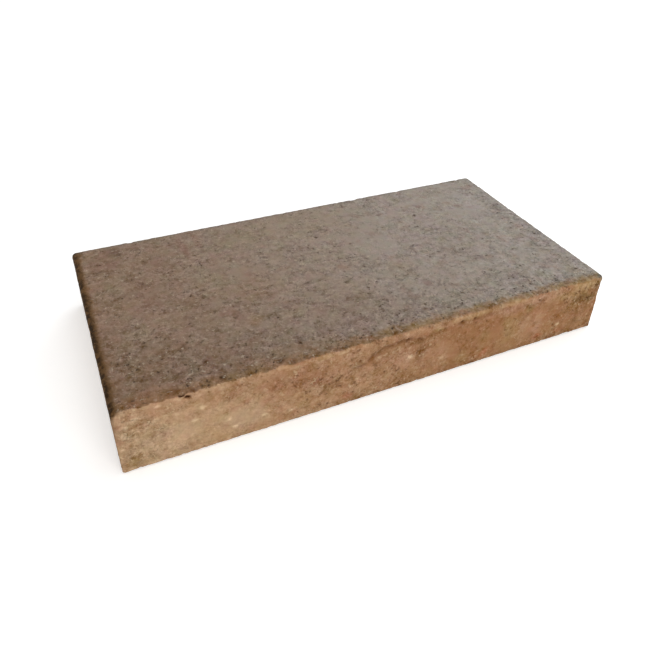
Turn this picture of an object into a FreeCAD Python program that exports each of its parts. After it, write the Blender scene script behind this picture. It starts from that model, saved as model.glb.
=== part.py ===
"""A flat refractory firebrick: one pressed and fired block of fireclay, 220 x 110 x 30 mm.

The frame has its origin at the centre of the lower bed face. X runs along the brick, from one
header face to the other, Y across it, from one stretcher face to the other, and Z is up, from
the lower bed face to the upper one. All sizes are in millimetres.
"""
import FreeCAD, Part
import math
import os

# Driving sizes of the format.
LENGTH = 220.0          # X, between the two header faces
WIDTH = 110.0           # Y, between the two stretcher faces
THICKNESS = 30.0        # Z, between the two bed faces

# Rounding from the mould and from handling.
CORNER_RADIUS = 2.5         # the four upright corners, seen from above
UPPER_ARRIS_RADIUS = 2.0    # the arrises round the upper bed face, worn by handling
LOWER_ARRIS_RADIUS = 1.0    # the arrises round the lower bed face, as the mould left them

UP = FreeCAD.Vector(0, 0, 1)
QUARTER_TURN = math.pi / 2


def plan_outline():
    """The brick seen from above: four quarter arcs at the corners, joined by straight sides."""
    along = LENGTH / 2 - CORNER_RADIUS
    across = WIDTH / 2 - CORNER_RADIUS
    centres = [(along, across), (-along, across), (-along, -across), (along, -across)]
    arcs = []
    for corner, (x, y) in enumerate(centres):
        circle = Part.Circle(FreeCAD.Vector(x, y, 0), UP, CORNER_RADIUS)
        arcs.append(Part.ArcOfCircle(circle, corner * QUARTER_TURN, (corner + 1) * QUARTER_TURN))
    edges = []
    for arc, following in zip(arcs, arcs[1:] + arcs[:1]):
        edges.append(arc.toShape())
        edges.append(Part.LineSegment(arc.EndPoint, following.StartPoint).toShape())
    return Part.Wire(edges)


def upper_arrises(block):
    """The edges round the upper bed face: all those that lie wholly above half the thickness."""
    return [edge for edge in block.Edges if edge.BoundBox.ZMin > THICKNESS / 2]


def lower_arrises(block):
    """The edges round the lower bed face: all those that lie wholly below half the thickness."""
    return [edge for edge in block.Edges if edge.BoundBox.ZMax < THICKNESS / 2]


def firebrick():
    """The whole brick: the outline raised to its thickness, then rounded along every arris."""
    block = Part.Face(plan_outline()).extrude(UP * THICKNESS)
    worn = block.makeFillet(UPPER_ARRIS_RADIUS, upper_arrises(block)).Solids[0]
    rounded = worn.makeFillet(LOWER_ARRIS_RADIUS, lower_arrises(worn))
    return rounded.Solids[0]


def main():
    os.makedirs("parts", exist_ok=True)
    brick = firebrick()
    brick.exportStep("parts/firebrick.step")
    box = brick.optimalBoundingBox()
    print("firebrick", brick.ShapeType, "valid", brick.isValid(), "faces", len(brick.Faces))
    print(f"size {box.XLength:.2f} x {box.YLength:.2f} x {box.ZLength:.2f} mm, {brick.Volume / 1000:.1f} cm3")


main()
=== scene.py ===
"""The looks of a flat refractory firebrick: its worn and pitted surface, its colours and its stage.

Lengths named here are in millimetres, and become metres only where Blender takes them. The brick
lies along X with its front stretcher face towards -Y. Its bed faces have a grey-brown skin from
the kiln. Its side faces show the tan clay body, streaked by the press.
"""
import math
import bpy
import numpy as np
from mathutils import Matrix, Vector, noise


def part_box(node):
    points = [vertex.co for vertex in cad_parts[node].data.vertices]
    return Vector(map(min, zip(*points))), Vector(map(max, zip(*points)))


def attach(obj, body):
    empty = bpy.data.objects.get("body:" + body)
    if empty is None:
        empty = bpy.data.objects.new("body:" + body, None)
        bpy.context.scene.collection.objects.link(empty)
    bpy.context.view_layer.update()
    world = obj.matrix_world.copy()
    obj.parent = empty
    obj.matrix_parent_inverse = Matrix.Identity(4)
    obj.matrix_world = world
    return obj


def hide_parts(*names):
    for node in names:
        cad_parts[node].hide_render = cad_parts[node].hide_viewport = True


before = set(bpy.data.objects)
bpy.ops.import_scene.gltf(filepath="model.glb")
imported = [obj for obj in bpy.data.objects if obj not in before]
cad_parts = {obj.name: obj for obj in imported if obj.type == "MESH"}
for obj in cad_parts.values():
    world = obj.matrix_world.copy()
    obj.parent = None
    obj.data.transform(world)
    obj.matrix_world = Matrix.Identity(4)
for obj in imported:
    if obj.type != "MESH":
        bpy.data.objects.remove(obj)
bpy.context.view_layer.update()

MM = 0.001
RANDOM = np.random.default_rng(22)

# The brick's size, from the frame, and the radii that it is rounded with. The upright corners are
# sharper near the lower bed than near the upper one, which is more worn.
LOW, HIGH = [np.array(corner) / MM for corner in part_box("firebrick")]
HALF = (HIGH - LOW) / 2
CENTRE = (HIGH + LOW) / 2
UPPER_CORNER_RADIUS = 2.5
LOWER_CORNER_RADIUS = 1.0
UPPER_ARRIS_RADIUS = 2.0
LOWER_ARRIS_RADIUS = 1.0

# The grid that the surface is made on, and what it is thinned to.
FINE_STEP = 0.33
COARSE_STEP = 0.55
FINE_BORDER = 4.0
TRIANGLE_LIMIT = 190000

# Relief, as depths below the pressed faces.
WAVE_DEPTH = 0.12
WAVE_LENGTH = 34.0
LUMP_DEPTH = 0.12
LUMP_LENGTH = 6.0
GRAIN_DEPTH = 0.20
GRAIN_LENGTH = 1.9
STREAK_DEPTH = 0.30
STREAK_LENGTH = 11.0
STREAK_HEIGHT = 2.0
CRUMBLE_DEPTH = 0.16
CRUMBLE_LENGTH = 2.6
CHIP_DEPTH = 0.40
CHIP_LENGTH = 5.0
CHIP_REACH = 3.0

# Where the grain is rougher or smoother than elsewhere, and by how much: X, then Y on the upper bed
# or Z on the front face, half length, half width or height, and the gain.
BED_ROUGHER_PLACES = [
    (-78.0, -38.0, 30.0, 13.0, 0.35), (-20.0, -46.0, 45.0, 9.0, 0.30), (70.0, -48.0, 45.0, 7.0, 0.30),
    (103.0, -5.0, 7.0, 55.0, 0.35), (-101.0, -10.0, 9.0, 32.0, 0.20), (22.0, 20.0, 13.0, 32.0, -0.45),
    (-45.0, 18.0, 13.0, 22.0, -0.25), (85.0, 30.0, 15.0, 18.0, -0.20), (5.0, 30.0, 8.0, 14.0, 0.20),
]
FRONT_ROUGHER_PLACES = [
    (-101.0, 15.0, 10.0, 12.0, 0.65), (-68.0, 13.0, 22.0, 8.0, -0.15), (-27.0, 14.0, 14.0, 9.0, 0.40),
    (-3.0, 21.0, 14.0, 8.0, 0.20), (55.0, 12.0, 47.0, 10.0, -0.40), (101.0, 21.0, 9.0, 8.0, 0.55),
]

# Pits that the photograph shows: X, then Y on the upper bed or Z on the front face, then radius.
UPPER_BED_PITS = [
    (0.6, 25.2, 1.1), (57.0, 26.5, 1.2), (-76.6, -27.2, 0.9), (-93.7, -15.0, 0.8),
    (-59.4, -17.5, 0.7), (-55.0, -19.6, 0.9), (13.8, 13.8, 1.0), (5.6, 14.4, 0.7),
    (30.0, 18.8, 0.6), (47.5, -36.9, 0.7), (73.8, -46.0, 0.9), (-78.2, -37.6, 0.7),
    (-70.0, -50.6, 0.8), (-47.5, -50.6, 0.7), (-12.5, -33.5, 0.8), (62.0, -36.5, 0.8),
    (-98.5, 44.0, 0.7), (-34.5, 39.5, 0.7), (106.5, 42.0, 0.8), (19.5, 35.0, 0.6),
    (-85.7, -54.0, 1.2), (-84.6, -54.2, 1.3),
]
FRONT_FACE_PITS = [
    (-83.4, 28.6, 1.6), (-76.0, 28.2, 0.6), (-68.5, 22.0, 0.7), (-53.8, 24.8, 0.8),
    (-56.0, 18.5, 0.7), (-41.8, 23.2, 0.9), (-38.2, 12.4, 0.8), (-30.2, 13.6, 0.7), (-28.4, 13.9, 0.8),
    (-26.7, 13.8, 0.8), (-25.1, 14.2, 0.9), (-23.7, 15.1, 0.8), (-22.7, 16.3, 0.9), (-21.0, 28.2, 0.5),
    (-14.8, 21.0, 1.0), (-9.5, 23.2, 0.5), (-3.3, 11.3, 0.9), (2.2, 25.0, 0.6), (6.5, 25.2, 1.2),
    (14.0, 25.0, 0.7), (21.6, 25.4, 0.7), (24.0, 25.7, 0.9), (28.2, 26.6, 0.7), (32.3, 26.6, 1.1),
    (33.2, 23.4, 0.5), (38.8, 26.5, 1.1), (31.9, 13.3, 0.5), (45.3, 23.2, 0.8), (57.0, 26.8, 0.7),
    (60.0, 26.4, 0.6), (64.0, 27.0, 0.6), (68.5, 23.2, 0.9), (73.0, 26.2, 0.9), (88.4, 21.9, 0.9),
    (85.4, 8.6, 1.0), (94.5, 24.0, 0.7), (98.3, 20.9, 0.9), (99.0, 23.6, 0.8), (103.0, 19.2, 0.9),
    (105.6, 26.0, 0.9), (99.6, 6.0, 0.6), (101.0, 10.5, 0.6), (86.3, 13.3, 0.5), (76.2, 23.6, 0.6),
    (96.4, 24.6, 0.9), (102.1, 19.5, 0.8), (103.2, 25.8, 0.7), (106.3, 27.5, 0.7), (98.4, 8.5, 0.7),
    (100.6, 22.0, 0.7), (104.6, 21.8, 0.8), (96.5, 18.2, 0.7), (101.0, 17.0, 0.6), (106.6, 22.8, 0.6),
]
SCATTERED_PITS = 300
PIT_RADII = (0.35, 0.85)
PIT_STEEPNESS = 0.75

# A fold that the press left in the front face, a smear of clay with a ragged lower edge. Its line
# is given as X and Z. The smear fades out towards both of its ends, and is faint in its right half.
FOLD_LINE = [
    (-14.0, 18.8), (-10.0, 22.0), (-7.4, 23.2), (-3.6, 24.6), (0.9, 25.2), (4.6, 26.0), (8.4, 25.3),
    (13.4, 23.9), (19.9, 24.8), (26.4, 24.2), (40.0, 26.4), (56.0, 26.4), (67.0, 24.8), (74.0, 25.4),
]
FOLD_WANDER = 0.7
FOLD_FADE = 6.0
FOLD_FAINT = (24.0, 42.0, 0.7)
FOLD_DEPTH = 0.30
# The depth and width of the groove along the smear's edge, and how strong the painted shade round it is.
FOLD_GROOVE = 0.30
FOLD_WIDTH = 0.9
FOLD_SHADE = 0.75


def srgb(red, green, blue):
    """A colour as it is seen on a screen, 0 to 255, as the linear colour that a shader takes."""
    linear = []
    for channel in (red, green, blue):
        share = channel / 255
        linear.append(share / 12.92 if share <= 0.04045 else ((share + 0.055) / 1.055) ** 2.4)
    return (*linear, 1.0)


# Colours, as they look in plain light: of the skin, of the body and of what lies on or in both.
# Some of them also paint light or shade, as said above them.
SKIN_LEFT = srgb(135, 111, 92)
SKIN_FRONT = srgb(126, 101, 81)
# The skin at the right: greyer, and partly a painted sheen.
SKIN_GREY_AND_SHEEN = srgb(151, 142, 133)
SKIN_SOOT = srgb(96, 76, 62)
SKIN_RED = srgb(130, 102, 87)
SKIN_OLIVE = srgb(134, 119, 98)
SKIN_OCHRE = srgb(134, 108, 82)
SKIN_ROSE = srgb(137, 115, 103)
SKIN_STRAW = srgb(145, 129, 112)
SKIN_VIOLET = srgb(148, 132, 126)
SKIN_TEAL = srgb(138, 128, 115)
# A blue-grey that is partly a painted sheen.
SKIN_BLUE_AND_SHEEN = srgb(154, 147, 141)
MARGIN_BROWN = srgb(130, 101, 72)
MARGIN_RED = srgb(138, 102, 76)
MARGIN_STRAW = srgb(142, 116, 78)
# Brown wear on the arrises, also used as painted shade on the upper left arris and at the back left corner.
ARRIS_WEAR_AND_SHADE = srgb(100, 72, 42)
# Painted shade at the very edge of the upper left arris.
ARRIS_SHADE = srgb(38, 21, 0)
# A painted grey highlight on the upper back and right arrises and at the front right corner.
ARRIS_HIGHLIGHT = srgb(104, 98, 88)
BODY_CREAM = srgb(173, 141, 109)
BODY_GREY = srgb(174, 147, 118)
BODY_PALE = srgb(184, 153, 121)
BODY_TAN = srgb(161, 124, 93)
BODY_BROWN = srgb(145, 104, 71)
BODY_RED = srgb(148, 103, 76)
BODY_PINK = srgb(167, 129, 100)
BODY_STRAW = srgb(167, 138, 98)
BODY_OLIVE = srgb(152, 119, 80)
BODY_RUST = srgb(158, 102, 72)
BODY_SHADE = srgb(126, 90, 58)
BODY_MOSS = srgb(112, 84, 48)
# Painted shade in and round the fold's groove.
FOLD_PAINTED_SHADE = srgb(112, 74, 46)
# Pale grains, whose tint also paints a highlight along the body's arrises.
PALE_GRAIN_AND_HIGHLIGHT = srgb(200, 172, 138)
PALE_SKIN_GRAIN = srgb(179, 162, 142)
# Dark grains, whose tints also paint shade in the hollows.
DARK_GRAIN_AND_SHADE = srgb(100, 64, 36)
DARK_SKIN_GRAIN_AND_SHADE = srgb(80, 61, 46)
# Painted shade at the bottom of deep pits.
PIT_SHADE = srgb(48, 22, 0)
CLEAR_GRAIN = srgb(209, 181, 148)
CRUMB_BROWN = srgb(78, 52, 28)

# How far the edges of blotches wander, and over what length.
BLOTCH_WANDER = 2.2
BLOTCH_WANDER_LENGTH = 4.5

# Blotches on the upper bed: X, Y, half length, half width, colour and share. The dark blotch at the
# back left corner is painted shade, and the grey one at the front right corner a painted highlight.
# The plain grey and blue-grey blotches towards the right end are partly a painted sheen.
BED_BLOTCHES = [
    (-5.0, 38.0, 32.0, 17.0, SKIN_STRAW, 0.6), (-92.0, 47.0, 5.0, 5.0, SKIN_SOOT, 0.6),
    (-98.0, 40.0, 8.0, 10.0, SKIN_RED, 0.5), (-97.0, 17.0, 6.0, 9.0, SKIN_OLIVE, 0.4),
    (-93.0, -14.0, 6.0, 6.0, SKIN_OLIVE, 0.5), (-86.0, 5.0, 6.0, 16.0, SKIN_RED, 0.5),
    (-74.0, 30.0, 7.0, 9.0, SKIN_RED, 0.35), (-61.0, 38.0, 2.0, 11.0, SKIN_RED, 0.8),
    (-54.0, 42.0, 2.0, 9.0, SKIN_RED, 0.7), (-56.0, 8.0, 9.0, 11.0, SKIN_OLIVE, 0.7),
    (-35.0, 38.0, 18.0, 11.0, SKIN_OLIVE, 0.5), (-40.0, -5.0, 14.0, 12.0, SKIN_OCHRE, 0.3),
    (-56.0, -15.0, 5.0, 5.0, SKIN_RED, 0.7), (-48.0, -25.0, 5.0, 5.0, SKIN_OCHRE, 0.5),
    (-30.0, -26.0, 5.0, 5.0, SKIN_OLIVE, 0.6), (-20.0, -27.0, 5.0, 6.0, SKIN_ROSE, 0.7),
    (-10.0, -43.0, 6.0, 6.0, SKIN_ROSE, 0.7), (0.0, -26.0, 6.0, 4.0, SKIN_OLIVE, 0.6),
    (-8.0, 47.0, 4.0, 6.0, SKIN_OLIVE, 0.5), (14.0, -8.0, 5.0, 12.0, SKIN_TEAL, 0.5),
    (27.0, -13.0, 8.0, 4.0, SKIN_STRAW, 0.5), (30.0, 34.0, 9.0, 12.0, SKIN_TEAL, 0.4),
    (48.0, 38.0, 4.0, 12.0, SKIN_VIOLET, 0.7), (45.0, 3.0, 7.0, 12.0, SKIN_VIOLET, 0.5),
    (60.0, 20.0, 4.0, 12.0, SKIN_VIOLET, 0.4), (35.0, -42.0, 8.0, 6.0, SKIN_TEAL, 0.6),
    (70.0, -42.0, 9.0, 5.0, SKIN_VIOLET, 0.5), (85.0, 12.0, 7.0, 10.0, SKIN_GREY_AND_SHEEN, 0.5),
    (80.0, 45.0, 9.0, 7.0, SKIN_TEAL, 0.5), (95.0, 28.0, 9.0, 15.0, SKIN_BLUE_AND_SHEEN, 0.45),
    (98.0, -34.0, 8.0, 8.0, SKIN_VIOLET, 0.4), (-30.0, -50.6, 2.2, 1.8, SKIN_OLIVE, 0.9),
    (27.0, -51.0, 2.2, 1.8, SKIN_OLIVE, 0.9), (-107.0, 52.0, 3.0, 3.0, ARRIS_WEAR_AND_SHADE, 0.8),
    (108.5, -53.5, 2.2, 2.2, ARRIS_HIGHLIGHT, 0.9),
    (107.0, 4.0, 4.5, 48.0, SKIN_BLUE_AND_SHEEN, 0.6), (-93.0, -50.0, 13.0, 4.0, MARGIN_RED, 0.5),
    (-40.0, -48.0, 28.0, 5.0, SKIN_OCHRE, 0.35), (-47.1, -51.0, 2.2, 1.3, CRUMB_BROWN, 0.8),
    (-43.6, -53.0, 1.9, 1.0, CRUMB_BROWN, 0.6), (-27.2, -51.2, 1.7, 1.2, CRUMB_BROWN, 0.5),
    (-21.5, -53.0, 2.4, 1.0, CRUMB_BROWN, 0.5), (0.7, -53.2, 2.2, 1.0, CRUMB_BROWN, 0.5),
    (-69.3, -50.9, 1.5, 1.4, CRUMB_BROWN, 0.9), (-80.9, -53.2, 1.5, 1.1, CRUMB_BROWN, 0.5),
]

# Blotches on the front face: X, Z, half length, half height, colour and share.
FRONT_BLOTCHES = [
    (38.0, 13.0, 14.0, 15.0, BODY_BROWN, 0.6), (-46.0, 20.0, 9.0, 8.0, BODY_RED, 0.3),
    (-63.0, 10.0, 9.0, 8.0, BODY_GREY, 0.8), (-94.0, 9.0, 15.0, 10.0, BODY_GREY, 0.75),
    (-75.0, 25.0, 5.0, 3.5, BODY_SHADE, 0.35), (-66.0, 25.5, 6.0, 4.0, BODY_PINK, 0.6),
    (-66.0, 25.5, 15.0, 5.5, BODY_TAN, 0.6), (-93.0, 26.5, 15.0, 3.5, BODY_TAN, 0.55),
    (-93.0, 8.5, 12.0, 4.0, BODY_PALE, 0.8),
    (-87.0, 24.0, 5.0, 1.3, BODY_SHADE, 0.25), (-53.0, 22.0, 6.0, 3.5, BODY_RED, 0.55),
    (-35.0, 20.0, 8.0, 6.0, BODY_RED, 0.4), (-31.0, 21.5, 5.0, 3.0, BODY_SHADE, 0.25),
    (-28.5, 12.0, 5.0, 3.0, BODY_SHADE, 0.5), (-39.0, 9.0, 4.0, 3.5, BODY_OLIVE, 0.6),
    (-20.0, 4.5, 3.0, 2.0, BODY_RUST, 0.5), (-9.0, 20.8, 10.0, 2.8, BODY_SHADE, 0.45),
    (9.0, 23.3, 4.5, 2.2, BODY_SHADE, 0.8), (5.0, 15.0, 6.0, 7.0, BODY_PINK, 0.9),
    (13.5, 17.0, 2.3, 7.0, BODY_SHADE, 0.6), (23.0, 12.0, 8.0, 8.0, BODY_PINK, 0.4),
    (35.0, 6.0, 4.0, 4.0, BODY_OLIVE, 0.7), (46.0, 13.0, 3.5, 8.0, BODY_OLIVE, 0.4),
    (47.0, 5.0, 2.3, 3.0, BODY_RUST, 0.8), (60.0, 14.0, 6.0, 11.0, BODY_OLIVE, 0.8),
    (68.0, 12.0, 4.5, 9.0, BODY_TAN, 0.9), (75.0, 12.0, 3.5, 9.0, BODY_PINK, 0.8),
    (83.0, 27.5, 8.5, 3.5, BODY_PINK, 0.6), (52.0, 28.8, 8.0, 2.0, BODY_PINK, 0.8),
    (64.0, 26.5, 18.0, 4.0, BODY_PINK, 0.85), (92.0, 24.0, 13.0, 3.2, BODY_STRAW, 0.6),
    (20.0, 28.5, 24.0, 2.2, BODY_PINK, 0.7), (100.0, 27.5, 9.0, 3.0, BODY_STRAW, 0.8),
    (68.5, 23.0, 3.0, 2.5, BODY_OLIVE, 0.8), (77.0, 5.0, 3.2, 1.5, BODY_RUST, 0.8),
    (89.5, 4.5, 4.5, 1.8, BODY_RUST, 0.4), (98.0, 19.5, 10.0, 6.0, BODY_OLIVE, 0.6),
    (92.0, 20.5, 6.0, 2.5, BODY_SHADE, 0.3), (99.0, 20.5, 4.0, 3.0, BODY_MOSS, 0.6),
    (104.0, 19.0, 3.5, 2.5, BODY_MOSS, 0.5), (106.0, 24.5, 2.5, 3.5, BODY_MOSS, 0.5),
    (98.0, 7.0, 3.0, 3.0, BODY_SHADE, 0.4), (-106.0, 4.0, 3.0, 2.0, BODY_OLIVE, 0.7),
    (-97.0, 4.0, 3.0, 1.5, BODY_OLIVE, 0.4), (-104.8, 5.0, 2.0, 1.4, BODY_STRAW, 0.8),
    (-48.0, 29.4, 2.6, 0.9, BODY_PALE, 0.6), (-41.8, 27.7, 1.6, 0.9, BODY_PALE, 0.6),
    (-23.0, 28.3, 2.2, 1.0, BODY_PALE, 0.6), (-78.2, 29.6, 1.6, 0.8, BODY_PALE, 0.5),
    (-73.4, 29.9, 1.6, 0.8, BODY_PALE, 0.5), (37.0, 28.2, 11.0, 1.8, BODY_STRAW, 0.5),
    (58.0, 29.4, 9.0, 1.4, BODY_STRAW, 0.5), (31.0, 26.2, 1.5, 1.1, BODY_SHADE, 0.7),
    (21.1, 26.2, 3.0, 1.2, BODY_STRAW, 0.6), (-30.4, 28.9, 4.0, 1.4, BODY_STRAW, 0.5),
]

# Pale grains in the front face: X, Z, half length and half height.
GRAIN_SHARE = 0.85
FRONT_GRAINS = [
    (-78.6, 21.8, 1.1, 1.0), (-106.3, 17.8, 1.8, 1.1), (-105.4, 22.2, 1.2, 0.9), (-102.3, 25.0, 1.2, 0.9),
    (-103.6, 11.6, 0.8, 0.8), (-108.0, 12.5, 0.8, 0.9), (-98.8, 19.6, 0.8, 0.8), (-81.5, 16.6, 1.5, 0.8),
    (-69.4, 12.2, 1.0, 1.5), (-67.3, 7.1, 1.3, 0.8), (-55.6, 8.7, 1.0, 0.8), (-44.4, 6.5, 1.0, 0.8),
    (-18.8, 9.4, 0.9, 0.6), (8.2, 15.4, 1.5, 1.2), (24.6, 9.8, 0.8, 1.0), (88.0, 8.4, 1.1, 1.0),
    (-94.0, 28.3, 1.0, 0.8), (-103.8, 8.0, 1.1, 0.9),
]


def spaced(half):
    """Grid positions from -half to half: fine near the ends, where the surface turns, then coarser."""
    fine = np.linspace(0, FINE_BORDER, round(FINE_BORDER / FINE_STEP) + 1)
    middle = 2 * (half - FINE_BORDER)
    coarse = np.linspace(FINE_BORDER, FINE_BORDER + middle, round(middle / COARSE_STEP) + 1)
    return np.concatenate([fine[:-1], coarse, 2 * half - fine[-2::-1]]) - half


def box_surface(xs, ys, zs):
    """Points and outward quads of a closed box, gridded at the given positions."""
    index = np.full((len(xs), len(ys), len(zs)), -1)
    skin = np.zeros(index.shape, bool)
    skin[[0, -1]] = True
    skin[:, [0, -1]] = True
    skin[:, :, [0, -1]] = True
    index[skin] = np.arange(skin.sum())
    i, j, k = np.nonzero(skin)
    quads = []
    for axis in range(3):
        for end in (0, -1):
            sheet = index.take(end, axis=axis)
            corners = np.stack([sheet[:-1, :-1], sheet[1:, :-1], sheet[1:, 1:], sheet[:-1, 1:]], axis=-1)
            corners = corners.reshape(-1, 4)
            # The two axes left over turn the other way round when the middle one is taken out.
            outward = (end == -1) != (axis == 1)
            quads.append(corners if outward else corners[:, ::-1])
    return np.stack([xs[i], ys[j], zs[k]], axis=1), np.concatenate(quads)


def on_disc(places):
    """Places in a square moved onto the disc in it, as a direction and a distance from the middle."""
    distance = np.abs(places).max(axis=1)
    length = np.linalg.norm(places, axis=1)
    return places / np.maximum(length, 1e-9)[:, None], distance


def rounded(points):
    """The sharp box's points moved onto the brick's rounded form, and the outward normal at each."""
    side = np.sign(points[:, 2])
    level = np.abs(points[:, 2])
    worn = smooth(points[:, 2], -HALF[2] / 2, HALF[2] / 2)
    corner = LOWER_CORNER_RADIUS + (UPPER_CORNER_RADIUS - LOWER_CORNER_RADIUS) * worn
    limit = HALF[:2] - corner[:, None]
    core = np.clip(points[:, :2], -limit, limit)
    sideways, reach = on_disc(points[:, :2] - core)
    radius = np.where(side > 0, UPPER_ARRIS_RADIUS, LOWER_ARRIS_RADIUS)
    inner_reach = corner - radius
    inner_level = HALF[2] - radius
    turn, rise = on_disc(np.stack([reach - inner_reach, level - inner_level], axis=1).clip(0))
    reach = np.minimum(reach, inner_reach) + turn[:, 0] * rise
    level = np.minimum(level, inner_level) + turn[:, 1] * rise
    places = np.column_stack([core + sideways * reach[:, None], level * side])
    normals = np.column_stack([sideways * turn[:, :1], turn[:, 1] * side])
    return places, normals


def smooth(values, low, high):
    """0 where values are below low, 1 where they are above high, and an even S-curve between."""
    share = np.clip((values - low) / (high - low), 0, 1)
    return share * share * (3 - 2 * share)


def noise_field(points, lengths, seed, octaves=3):
    """Noise from about -1 to 1 at each point, whose lumps are about as long as lengths."""
    scaled = points / np.asarray(lengths, float) + seed * 17.3
    return np.array([noise.fractal(Vector(point), 1.0, 2.0, octaves) for point in scaled])


def roughness(points, normals):
    """How rough the grain is at each point: 1 where it is very rough, and 0 where it is smooth."""
    rough = 0.45 + 0.30 * noise_field(points, 20.0, 16, 2)
    rough -= 0.15 * points[:, 1] / HALF[1]
    upper = smooth(normals[:, 2], 0.5, 0.9)
    front = smooth(-normals[:, 1], 0.5, 0.9)
    places = [(upper, 1, 0.0, place) for place in BED_ROUGHER_PLACES]
    places += [(front, 2, CENTRE[2], place) for place in FRONT_ROUGHER_PLACES]
    for there, axis, offset, (x, other, half_length, half_width, gain) in places:
        across = (points[:, axis] + offset - other) / half_width
        away = np.hypot((points[:, 0] - x) / half_length, across)
        rough += gain * there * (1 - smooth(away, 0.5, 1.3))
    return np.clip(rough, 0, 1)


def pits():
    """Centre and radius of each pit: those in the photograph, then scattered ones."""
    found = [((x, y, HALF[2]), radius) for x, y, radius in UPPER_BED_PITS]
    found += [((x, -HALF[1], z - CENTRE[2]), radius) for x, z, radius in FRONT_FACE_PITS]
    areas = np.array([HALF[1] * HALF[2], HALF[0] * HALF[2], HALF[0] * HALF[1]])
    for _ in range(SCATTERED_PITS):
        axis = RANDOM.choice(3, p=areas / areas.sum())
        centre = RANDOM.uniform(-HALF, HALF)
        centre[axis] = HALF[axis] * RANDOM.choice([-1, 1])
        # Small pits are much more common than large ones.
        radius = PIT_RADII[0] + (PIT_RADII[1] - PIT_RADII[0]) * RANDOM.random() ** 2.5
        found.append((centre, radius))
    return found


def pit_depths(points):
    """How deep each point lies in a pit."""
    depths = np.zeros(len(points))
    ragged = 1 + 0.45 * noise_field(points, 0.9, 5, 2)
    for centre, radius in pits():
        near = np.nonzero(np.abs(points - centre).max(axis=1) < 2 * radius)[0]
        distance = np.linalg.norm(points[near] - centre, axis=1) / (radius * ragged[near])
        bowl = radius * PIT_STEEPNESS * (1 - smooth(distance, 0.35, 1.0))
        depths[near] = np.maximum(depths[near], bowl)
    return depths


def fold_depths(points, normals):
    """How deep each point lies below the fold's smear, and its share of the groove along the edge."""
    depths = np.zeros(len(points))
    grooves = np.zeros(len(points))
    face = np.nonzero(normals[:, 1] < -0.7)[0]
    x = points[face, 0]
    along = np.stack([x / 5, np.zeros(len(x)), np.zeros(len(x))], axis=1)
    line_x, line_z = np.transpose(FOLD_LINE)
    line = np.interp(x, line_x, line_z) + noise_field(along, 1.0, 8, 4) * FOLD_WANDER
    below = line - (points[face, 2] + CENTRE[2])
    start, end = line_x[0], line_x[-1]
    there = smooth(x, start - FOLD_FADE, start) * (1 - smooth(x, end, end + FOLD_FADE))
    there *= 1 - FOLD_FAINT[2] * smooth(x, *FOLD_FAINT[:2])
    broken = smooth(noise_field(points[face], 3.0, 9, 3), -0.35, 0.25)
    depths[face] = FOLD_DEPTH * there * smooth(below, -0.3, 0.4) * (1 - smooth(below, 1.5, 7.0))
    grooves[face] = there * broken * np.exp(-((below - 0.4) / FOLD_WIDTH) ** 2)
    return depths, grooves


def relief(points, normals, rough):
    """At each point, its depth below the pressed form and its share of a hollow and of the groove."""
    bed = smooth(np.abs(normals[:, 2]), 0.3, 0.9)
    to_edge = np.sort(HALF - np.abs(points), axis=1)[:, 1]
    border = 1 - smooth(to_edge, 0.5, CHIP_REACH)
    waves = 0.5 + 0.5 * noise_field(points, WAVE_LENGTH, 1)
    lumps = 0.5 + 0.5 * noise_field(points, LUMP_LENGTH, 7, 2)
    grain = 0.5 + 0.5 * noise_field(points, GRAIN_LENGTH, 2, 2)
    streaks = 0.5 + 0.5 * noise_field(points, (STREAK_LENGTH, STREAK_LENGTH, STREAK_HEIGHT), 3)
    crumble = 0.5 + 0.5 * noise_field(points, CRUMBLE_LENGTH, 4)
    chips = smooth(noise_field(points, CHIP_LENGTH, 6, 4), 0.30, 0.60)
    depth = WAVE_DEPTH * waves + LUMP_DEPTH * lumps + GRAIN_DEPTH * grain * (0.5 + rough)
    depth += STREAK_DEPTH * streaks * (1 - bed) * smooth(to_edge, 0.0, 2.5)
    depth += border * (CRUMBLE_DEPTH * crumble + CHIP_DEPTH * chips)
    fold, groove = fold_depths(points, normals)
    hollow = np.maximum(pit_depths(points), FOLD_GROOVE * groove)
    return depth + fold + hollow, np.clip(hollow / 0.9, 0, 1), groove


def blotches():
    """Middle, reach, colour and share of each blotch, those on top of others last."""
    for x, y, half_length, half_width, tint, share in BED_BLOTCHES:
        yield (x, y, HALF[2]), (half_length, half_width, UPPER_ARRIS_RADIUS), tint, share
    for x, z, half_length, half_height, tint, share in FRONT_BLOTCHES:
        yield (x, -HALF[1], z - CENTRE[2]), (half_length, UPPER_ARRIS_RADIUS, half_height), tint, share
    for x, z, half_length, half_height in FRONT_GRAINS:
        reach = (half_length, UPPER_ARRIS_RADIUS, half_height)
        yield (x, -HALF[1], z - CENTRE[2]), reach, CLEAR_GRAIN, GRAIN_SHARE


def blotched(points, groove):
    """The blotches' colour times the share that they cover, and that share, at each point, with painted
    shade round the fold's groove laid over them.
    """
    painted = np.zeros((len(points), 4))
    ragged = np.stack([noise_field(points, BLOTCH_WANDER_LENGTH, seed, 4) for seed in (31, 32, 33)], axis=1)
    for middle, reach, tint, share in blotches():
        wander = np.minimum(BLOTCH_WANDER, 0.4 * min(reach[0], reach[1]))
        away = np.linalg.norm((points + ragged * wander - middle) / reach, axis=1)
        cover = share * (1 - smooth(away, 0.4, 1.3))[:, None]
        painted = painted * (1 - cover) + cover * tint
    # The painted shade round the groove is wider than the groove itself.
    shade = FOLD_SHADE * groove[:, None] ** 0.5
    return painted * (1 - shade) + shade * FOLD_PAINTED_SHADE


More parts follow.
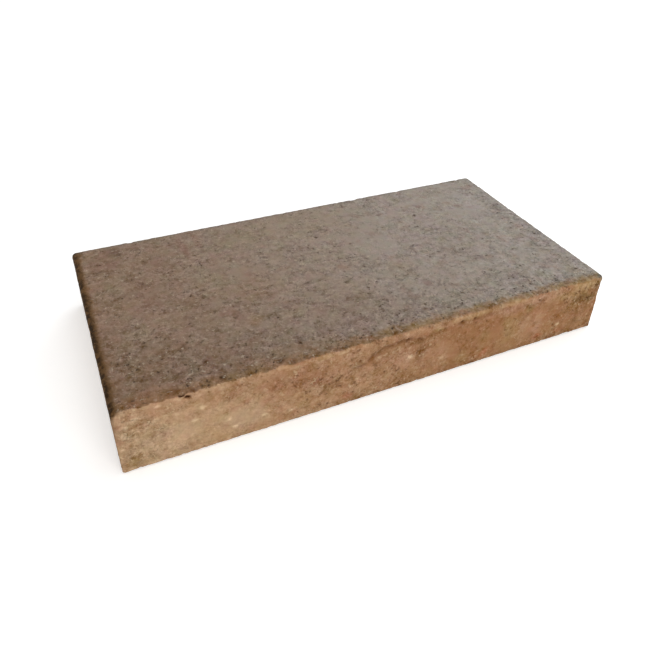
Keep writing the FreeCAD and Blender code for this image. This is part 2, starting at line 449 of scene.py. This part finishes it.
def brick_mesh():
    """The brick's surface as one closed mesh, with its roughness, hollows and blotches at each point."""
    sharp, quads = box_surface(*[spaced(half) for half in HALF])
    points, normals = rounded(sharp)
    rough = roughness(points, normals)
    depth, hollow, groove = relief(points, normals, rough)
    places = (points - normals * depth[:, None] + CENTRE) * MM
    mesh = bpy.data.meshes.new("firebrick_body")
    mesh.from_pydata(places.tolist(), [], quads.tolist())
    painted = mesh.attributes.new("blotches", "FLOAT_COLOR", "POINT")
    painted.data.foreach_set("color", blotched(points, groove).astype(np.float32).ravel())
    for name, values in (("hollow", hollow), ("rough", rough)):
        mesh.attributes.new(name, "FLOAT", "POINT").data.foreach_set("value", values.astype(np.float32))
    return mesh


def thinned(mesh, limit):
    """The mesh with its triangles reduced to the limit, most where it is flat."""
    dense = bpy.data.objects.new("dense", mesh)
    bpy.context.scene.collection.objects.link(dense)
    decimate = dense.modifiers.new("thin", "DECIMATE")
    decimate.ratio = limit / (2 * len(mesh.polygons))
    shown = dense.evaluated_get(bpy.context.evaluated_depsgraph_get())
    result = bpy.data.meshes.new_from_object(shown)
    bpy.data.objects.remove(dense)
    bpy.data.meshes.remove(mesh)
    result.name = "firebrick_body"
    return result


class Field:
    """A number or colour that varies over a surface, as a shader node's output."""

    def __init__(self, tree, socket):
        self.tree = tree
        self.socket = socket

    def worked(self, operation, other=0.0):
        node = self.tree.nodes.new("ShaderNodeMath")
        node.operation = operation
        self.tree.links.new(self.socket, node.inputs[0])
        plug(other, node.inputs[1])
        return Field(self.tree, node.outputs[0])

    def __add__(self, other):
        return self.worked("ADD", other)

    def __sub__(self, other):
        return self.worked("SUBTRACT", other)

    def __mul__(self, other):
        return self.worked("MULTIPLY", other)

    def least(self, other):
        return self.worked("MINIMUM", other)

    def most(self, other):
        return self.worked("MAXIMUM", other)

    def size(self):
        return self.worked("ABSOLUTE")

    def step(self, low, high, most=1.0):
        """0 where the field is at low, the most where it is at high, and an even S-curve between."""
        node = self.tree.nodes.new("ShaderNodeMapRange")
        node.interpolation_type = "SMOOTHSTEP"
        plug(self, node.inputs["Value"])
        node.inputs["From Min"].default_value = min(low, high)
        node.inputs["From Max"].default_value = max(low, high)
        node.inputs["To Min"].default_value = 0.0 if low < high else most
        node.inputs["To Max"].default_value = most if low < high else 0.0
        return Field(self.tree, node.outputs["Result"])

    def toned(self, factor):
        """A colour made lighter or darker by a factor."""
        node = self.tree.nodes.new("ShaderNodeVectorMath")
        node.operation = "SCALE"
        plug(self, node.inputs[0])
        plug(factor, node.inputs["Scale"])
        return Field(self.tree, node.outputs[0])

    def joined(self, colour):
        """This colour and another one, added up."""
        node = self.tree.nodes.new("ShaderNodeVectorMath")
        node.operation = "ADD"
        plug(self, node.inputs[0])
        plug(colour, node.inputs[1])
        return Field(self.tree, node.outputs[0])

    def under(self, colour, share):
        """This colour under another one, which covers the given share of it."""
        return layered(self.tree, self, colour, share)


def plug(value, socket):
    """Links a field to a socket, or sets the socket to a plain value."""
    if isinstance(value, Field):
        value.tree.links.new(value.socket, socket)
    else:
        socket.default_value = value


def layered(tree, below, above, share):
    """One colour over another, which it covers by a share from 0 to 1."""
    node = tree.nodes.new("ShaderNodeMix")
    node.data_type = "RGBA"
    share_in, below_in, above_in = node.inputs[0], node.inputs[6], node.inputs[7]
    plug(share, share_in)
    plug(below, below_in)
    plug(above, above_in)
    return Field(tree, node.outputs[2])


class Surface:
    """The node tree of one material, with the fields that its colours and relief are made of."""

    def __init__(self, material):
        self.tree = material.node_tree
        coordinates = self.tree.nodes.new("ShaderNodeTexCoord")
        scale = self.tree.nodes.new("ShaderNodeVectorMath")
        scale.operation = "SCALE"
        scale.inputs["Scale"].default_value = 1 / MM
        self.tree.links.new(coordinates.outputs["Object"], scale.inputs[0])
        self.place = scale.outputs[0]
        parts = self.tree.nodes.new("ShaderNodeSeparateXYZ")
        self.tree.links.new(self.place, parts.inputs[0])
        self.x, self.y, self.z = [Field(self.tree, output) for output in parts.outputs]
        self.crooked = self.crooked_place(1.4, 1.6)

    def crooked_place(self, length, reach):
        """The place moved aside by noise, so that what is drawn there gets a ragged outline."""
        node = self.noise_node(length, 30, 3.0, 0.6)
        centred = self.tree.nodes.new("ShaderNodeVectorMath")
        centred.operation = "SUBTRACT"
        self.tree.links.new(node.outputs["Color"], centred.inputs[0])
        centred.inputs[1].default_value = (0.5, 0.5, 0.5)
        moved = self.tree.nodes.new("ShaderNodeVectorMath")
        moved.operation = "MULTIPLY_ADD"
        self.tree.links.new(centred.outputs[0], moved.inputs[0])
        moved.inputs[1].default_value = (reach, reach, reach)
        self.tree.links.new(self.place, moved.inputs[2])
        return moved.outputs[0]

    def scaled(self, place, lengths, seed):
        """Coordinates that run 1 for each of the given lengths, moved aside by the seed."""
        node = self.tree.nodes.new("ShaderNodeVectorMath")
        node.operation = "MULTIPLY_ADD"
        self.tree.links.new(place, node.inputs[0])
        lengths = lengths if isinstance(lengths, tuple) else (lengths,) * 3
        node.inputs[1].default_value = [1 / length for length in lengths]
        node.inputs[2].default_value = (seed * 3.7, seed * 5.3, seed * 7.9)
        return node.outputs[0]

    def noise_node(self, lengths, seed, detail, roughness):
        node = self.tree.nodes.new("ShaderNodeTexNoise")
        self.tree.links.new(self.scaled(self.place, lengths, seed), node.inputs["Vector"])
        node.inputs["Scale"].default_value = 1.0
        node.inputs["Detail"].default_value = detail
        node.inputs["Roughness"].default_value = roughness
        return node

    def noise(self, lengths, seed, detail=2.0, roughness=0.5):
        """Noise around 0, seldom beyond -0.3 and 0.3, with lumps about as long as lengths."""
        node = self.noise_node(lengths, seed, detail, roughness)
        return Field(self.tree, node.outputs["Fac"]) - 0.5

    def hued(self, colour, lengths, seed, reach):
        """The colour with red, green and blue each a little stronger or weaker from place to place."""
        node = self.noise_node(lengths, seed, 3.0, 0.6)
        gains = self.tree.nodes.new("ShaderNodeVectorMath")
        gains.operation = "MULTIPLY_ADD"
        self.tree.links.new(node.outputs["Color"], gains.inputs[0])
        gains.inputs[1].default_value = (reach, reach, reach)
        gains.inputs[2].default_value = (1 - reach / 2, 1 - reach / 2, 1 - reach / 2)
        product = self.tree.nodes.new("ShaderNodeVectorMath")
        product.operation = "MULTIPLY"
        plug(colour, product.inputs[0])
        self.tree.links.new(gains.outputs[0], product.inputs[1])
        return Field(self.tree, product.outputs[0])

    def cells(self, lengths, seed):
        """Distance from the middle of the nearest grain, in grains, and a random number for it."""
        node = self.tree.nodes.new("ShaderNodeTexVoronoi")
        self.tree.links.new(self.scaled(self.crooked, lengths, seed), node.inputs["Vector"])
        node.inputs["Scale"].default_value = 1.0
        split = self.tree.nodes.new("ShaderNodeSeparateXYZ")
        self.tree.links.new(node.outputs["Color"], split.inputs[0])
        return Field(self.tree, node.outputs["Distance"]), Field(self.tree, split.outputs[0])

    def attribute(self, name, output="Fac"):
        node = self.tree.nodes.new("ShaderNodeAttribute")
        node.attribute_name = name
        return Field(self.tree, node.outputs[output])


def skin_colour(surface):
    """The grey-brown skin of a bed face: greyer to the right, partly as a painted sheen, in soft patches,
    with a worn margin.
    """
    drift = surface.noise(40.0, 12) * 60.0
    across = surface.x + surface.y * 0.1 + drift
    left = layered(surface.tree, SKIN_LEFT, SKIN_FRONT, (surface.y + drift).step(5.0, -45.0))
    # Brown at the left turns to grey at the right, partly as a painted sheen.
    colour = left.under(SKIN_GREY_AND_SHEEN, across.step(-120.0, 110.0))
    tints = surface.noise(9.0, 2, detail=3.0, roughness=0.6)
    colour = colour.under(SKIN_RED, tints.step(0.03, 0.20, 0.4))
    colour = colour.under(SKIN_OLIVE, tints.step(-0.03, -0.20, 0.4))
    front = surface.y + HALF[1]
    side = surface.x + (HALF[0] + 2.0)
    back = surface.y * -1 + (HALF[1] + 5.5)
    right = surface.x * -1 + (HALF[0] + 5.5)
    inset = front.least(side).least(back).least(right)
    ragged = inset + surface.noise(4.0, 3, detail=4.0, roughness=0.6) * 9.0
    margin = (ragged + surface.x.step(0.0, 80.0, 0.8)).step(7.2, 2.8, 0.85)
    brown = layered(surface.tree, MARGIN_BROWN, MARGIN_STRAW, surface.x.step(-40.0, 60.0))
    brown = brown.under(MARGIN_RED, surface.noise(6.0, 13).step(-0.05, 0.08, 0.6))
    colour = colour.under(brown, margin)
    crumbs = surface.noise(2.4, 25, detail=3.0, roughness=0.65).step(0.0, 0.12)
    return colour.under(ARRIS_WEAR_AND_SHADE, inset.step(4.0, 1.2, 0.4) * crumbs)


def body_colour(surface):
    """The tan body of the side faces: cream at the left, browner to the right, with pressed streaks,
    lighter low down by painted light and darker at the foot on the right by painted shade.
    """
    along = surface.x + surface.noise(22.0, 4) * 60.0
    colour = layered(surface.tree, BODY_CREAM, BODY_TAN, along.step(-75.0, -35.0))
    colour = colour.under(BODY_BROWN, along.step(-15.0, 35.0))
    streaks = surface.noise((16.0, 16.0, 3.2), 5, detail=4.0, roughness=0.6)
    colour = colour.under(BODY_RED, streaks.step(0.04, 0.18, 0.45))
    colour = colour.under(BODY_CREAM, streaks.step(-0.06, -0.20, 0.35))
    # Painted light, as if bounced from the floor: lighter and straw-coloured towards the bottom.
    colour = colour.under(BODY_STRAW, surface.z.step(18.0, 4.0, 0.18))
    # Painted shade along the foot of the faces, where they meet the floor, fading out to the left.
    return colour.under(BODY_SHADE, surface.z.step(5.0, 1.0, 0.4) * surface.x.step(-50.0, 20.0))


def arris_shade_and_highlight(surface, colour):
    """The colour with worn brown and painted shade on the upper left arris, and a thin painted highlight on
    the upper back and right arrises.
    """
    high = surface.z.step(HIGH[2] - 5.0, HIGH[2] - 1.5)
    uneven = surface.noise(3.0, 20, detail=5.0, roughness=0.7) * 3.5
    behind = (surface.y + HALF[1]).step(0.4, 1.4) * high
    left = surface.x + HALF[0] + uneven
    crumbs = surface.noise(3.0, 28, detail=4.0, roughness=0.7).step(-0.10, 0.06, 0.85) + 0.15
    # Painted shade on the upper left arris, which faces away from the lamps: brown, then near black at the
    # edge.
    colour = colour.under(ARRIS_WEAR_AND_SHADE, left.step(4.6, 2.0, 0.95) * behind)
    colour = colour.under(ARRIS_SHADE, left.step(3.4, 1.0, 0.95) * behind * crumbs)
    # A thin painted grey highlight on the upper back and right arrises, which face the window lamp.
    patchy = surface.noise(7.0, 21, detail=3.0, roughness=0.6).step(-0.12, 0.10)
    back = (surface.y * -1 + HALF[1] + uneven).step(4.2, 1.0, 0.6) * (patchy * 0.7 + 0.4)
    right = (surface.x * -1 + HALF[0] + uneven).step(3.0, 0.8, 0.6) * patchy
    return colour.under(ARRIS_HIGHLIGHT, back.most(right) * high)


def fireclay_material():
    """Fired clay: a skin on the bed faces, the body on the sides, and grains and pores through both."""
    material = bpy.data.materials.new("fireclay")
    material.use_nodes = True
    surface = Surface(material)
    tree = surface.tree
    shader = tree.nodes["Principled BSDF"]

    # The skin ends about half way round each arris, along a wandering and ragged line, and is worn
    # away further at the left.
    level = (surface.z - CENTRE[2]).size()
    wander = surface.noise(5.0, 6, detail=5.0, roughness=0.75) * 6.0
    inside = (surface.x.size() * -1 + HALF[0]).least(surface.y.size() * -1 + HALF[1])
    wander = wander + surface.x.step(-60.0, 40.0, 0.8)
    skin = (inside + level + wander).step(HALF[2] + 0.45, HALF[2] + 1.15)
    body = skin * -1 + 1.0
    colour = layered(tree, body_colour(surface), skin_colour(surface), skin)

    # The blotches, whose colours are stored times the share that they cover.
    bare = surface.attribute("blotches", "Alpha") * -1 + 1.0
    colour = colour.toned(bare).joined(surface.attribute("blotches", "Color"))
    colour = surface.hued(colour, 5.0, 27, 0.22)

    # Grains pressed together, large and small, each with a tone of its own, and irregular marks.
    large, large_chance = surface.cells(1.9, 9)
    small, small_chance = surface.cells(0.95, 10)
    broad = surface.noise(8.0, 22, detail=2.0, roughness=0.6)
    medium = surface.noise(3.0, 8, detail=3.0, roughness=0.65)
    fine = surface.noise(0.9, 7, detail=2.0, roughness=0.6)
    patchy = surface.noise(7.0, 24, detail=2.0, roughness=0.6).step(-0.16, 0.18)
    coarseness = (surface.attribute("rough") * 1.1 + patchy * 0.9 + 0.06) * (skin * 0.2 + 0.9)
    tone = (large_chance - 0.5) * 0.18 + (small_chance - 0.5) * 0.12
    tone = (tone + broad * 0.4 + medium * 0.95 + fine * (body * 0.4 + 0.5)) * coarseness
    colour = colour.toned(tone * 0.5 + 1.0).joined(tone * 0.1)
    marks = surface.noise(1.9, 17, detail=2.0, roughness=0.6)
    # The cream clay at the left has few dark marks and many pale ones.
    shady = surface.x.step(-85.0, -30.0, 0.8) + 0.2
    flecked = surface.x.step(-70.0, -98.0, 0.9) * body + 1.0
    pale = marks.step(0.08, 0.23) * coarseness * flecked
    dark = marks.step(-0.08, -0.23) * coarseness * skin.most(shady)
    pale_tint = layered(tree, PALE_SKIN_GRAIN, PALE_GRAIN_AND_HIGHLIGHT, body)
    dark_grain_and_shade_tint = layered(tree, DARK_SKIN_GRAIN_AND_SHADE, DARK_GRAIN_AND_SHADE, body)
    colour = colour.under(pale_tint, pale * (body * -0.1 + 0.5))
    colour = colour.under(dark_grain_and_shade_tint, dark * (body * -0.1 + 0.6))
    # Pale grains along the body's arrises, partly a painted highlight there.
    rim_highlight = level.step(HALF[2] - 3.2, HALF[2] - 1.0) * body
    colour = colour.under(PALE_GRAIN_AND_HIGHLIGHT, rim_highlight * medium.step(0.02, 0.16, 0.25))

    colour = arris_shade_and_highlight(surface, colour)
    # Painted shade in the hollows: darker with their depth, darkest at the bottom of deep pits.
    hollow = surface.attribute("hollow")
    colour = colour.under(dark_grain_and_shade_tint, hollow.step(0.1, 0.85, 0.8))
    colour = colour.under(PIT_SHADE, hollow.step(0.8, 0.95, 0.9))
    plug(colour, shader.inputs["Base Color"])

    plug(fine * 0.3 + 0.85, shader.inputs["Roughness"])
    shader.inputs["Specular IOR Level"].default_value = 0.15

    pebbles = large.step(0.75, 0.1, 0.5) + small.step(0.75, 0.1, 0.3)
    height = pebbles + surface.noise(0.6, 11, detail=3.0, roughness=0.65) * 1.2 + pale * 0.3 - dark * 0.6
    bump = tree.nodes.new("ShaderNodeBump")
    bump.inputs["Strength"].default_value = 1.0
    bump.inputs["Distance"].default_value = 0.32 * MM
    plug(height * coarseness, bump.inputs["Height"])
    tree.links.new(bump.outputs["Normal"], shader.inputs["Normal"])
    return material


def make_brick():
    mesh = thinned(brick_mesh(), TRIANGLE_LIMIT)
    mesh.shade_smooth()
    mesh.materials.append(fireclay_material())
    brick = bpy.data.objects.new("firebrick_body", mesh)
    bpy.context.scene.collection.objects.link(brick)
    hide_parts("firebrick")
    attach(brick, "root")
    return brick


def seen_directly(tree):
    """1 on a ray that shows its background plainly: from the camera, a mirror or a pane."""
    path = tree.nodes.new("ShaderNodeLightPath")
    seen = Field(tree, path.outputs["Is Camera Ray"])
    for kind in ("Is Glossy Ray", "Is Transmission Ray"):
        seen = seen.most(Field(tree, path.outputs[kind]))
    return seen


# The stage: a white floor and a pale surround.
FLOOR_SIZE = 6.0
FLOOR_WHITE = 0.85
FLOOR_LIFT = 0.38
FAR_LIFT = 0.42
LIT_RADII = (0.5, 1.6)
AMBIENT = 0.385


def make_floor():
    mesh = bpy.data.meshes.new("floor")
    half = FLOOR_SIZE / 2
    corners = [(-half, -half, 0), (half, -half, 0), (half, half, 0), (-half, half, 0)]
    mesh.from_pydata(corners, [], [(0, 1, 2, 3)])
    material = bpy.data.materials.new("floor")
    material.use_nodes = True
    tree = material.node_tree
    shader = tree.nodes["Principled BSDF"]
    shader.inputs["Base Color"].default_value = (FLOOR_WHITE, FLOOR_WHITE, FLOOR_WHITE, 1)
    shader.inputs["Roughness"].default_value = 0.9
    shader.inputs["Specular IOR Level"].default_value = 0.0
    shader.inputs["Emission Color"].default_value = (1, 1, 1, 1)
    # The lamps reach only the middle of the floor, so that the rest is lifted to white.
    place = tree.nodes.new("ShaderNodeTexCoord")
    away = tree.nodes.new("ShaderNodeVectorMath")
    away.operation = "LENGTH"
    tree.links.new(place.outputs["Object"], away.inputs[0])
    lift = Field(tree, away.outputs["Value"]).step(*LIT_RADII, FAR_LIFT) + FLOOR_LIFT
    plug(seen_directly(tree) * lift, shader.inputs["Emission Strength"])
    mesh.materials.append(material)
    floor = bpy.data.objects.new("floor", mesh)
    bpy.context.scene.collection.objects.link(floor)


def make_world():
    world = bpy.data.worlds.new("surround")
    world.use_nodes = True
    tree = world.node_tree
    background = tree.nodes["Background"]
    background.inputs["Color"].default_value = (1, 1, 1, 1)
    plug(seen_directly(tree) * (1 - AMBIENT) + AMBIENT, background.inputs["Strength"])
    bpy.context.scene.world = world


def direction(azimuth, elevation):
    """The way from the brick to something seen at that azimuth, 0 being in front of it."""
    turn, rise = math.radians(azimuth), math.radians(elevation)
    return Vector((math.sin(turn) * math.cos(rise), -math.cos(turn) * math.cos(rise), math.sin(rise)))


def soft_lamp(name, azimuth, elevation, distance, size, watts, colour):
    """A rectangular soft box that faces the brick."""
    data = bpy.data.lights.new(name, "AREA")
    data.shape = "RECTANGLE"
    data.size, data.size_y = size
    data.energy = watts
    data.color = colour
    lamp = bpy.data.objects.new(name, data)
    bpy.context.scene.collection.objects.link(lamp)
    away = direction(azimuth, elevation)
    lamp.location = away * distance
    lamp.rotation_mode = "QUATERNION"
    lamp.rotation_quaternion = away.to_track_quat("Z", "Y")


# The camera, where the photograph was taken from: its place relative to a point in the brick.
CAMERA_AZIMUTH = -25.593
CAMERA_ELEVATION = 34.791
CAMERA_ROLL = 2.04
CAMERA_DISTANCE = 308.88
CAMERA_TARGET = (0.42, 12.89, 15.0)
CAMERA_LENS = 35.133
CAMERA_SENSOR = 36.0
CAMERA_SHIFT_Y = -0.0762


def make_camera():
    data = bpy.data.cameras.new("camera")
    data.sensor_width = CAMERA_SENSOR
    data.lens = CAMERA_LENS
    data.shift_y = CAMERA_SHIFT_Y
    data.clip_start = 0.01
    data.clip_end = 50.0
    camera = bpy.data.objects.new("camera", data)
    bpy.context.scene.collection.objects.link(camera)
    back = direction(CAMERA_AZIMUTH, CAMERA_ELEVATION)
    level = Vector((math.cos(math.radians(CAMERA_AZIMUTH)), math.sin(math.radians(CAMERA_AZIMUTH)), 0))
    upright = back.cross(level)
    roll = math.radians(CAMERA_ROLL)
    right = level * math.cos(roll) + upright * math.sin(roll)
    up = upright * math.cos(roll) - level * math.sin(roll)
    place = (Vector(CAMERA_TARGET) + back * CAMERA_DISTANCE) * MM
    turned = Matrix((right, up, back)).transposed()
    camera.matrix_world = Matrix.Translation(place) @ turned.to_4x4()
    bpy.context.scene.camera = camera


make_camera()
make_brick()
make_floor()
make_world()
soft_lamp("front", 0, 26, 1.2, (1.0, 0.7), 7.8, (1.0, 0.97, 0.93))
soft_lamp("window", 125, 28, 1.3, (1.4, 0.8), 8.4, (0.92, 0.96, 1.0))
soft_lamp("overhead", 20, 80, 1.4, (1.0, 1.0), 5.0, (1.0, 0.99, 0.97))
bpy.context.scene.view_settings.view_transform = "Standard"
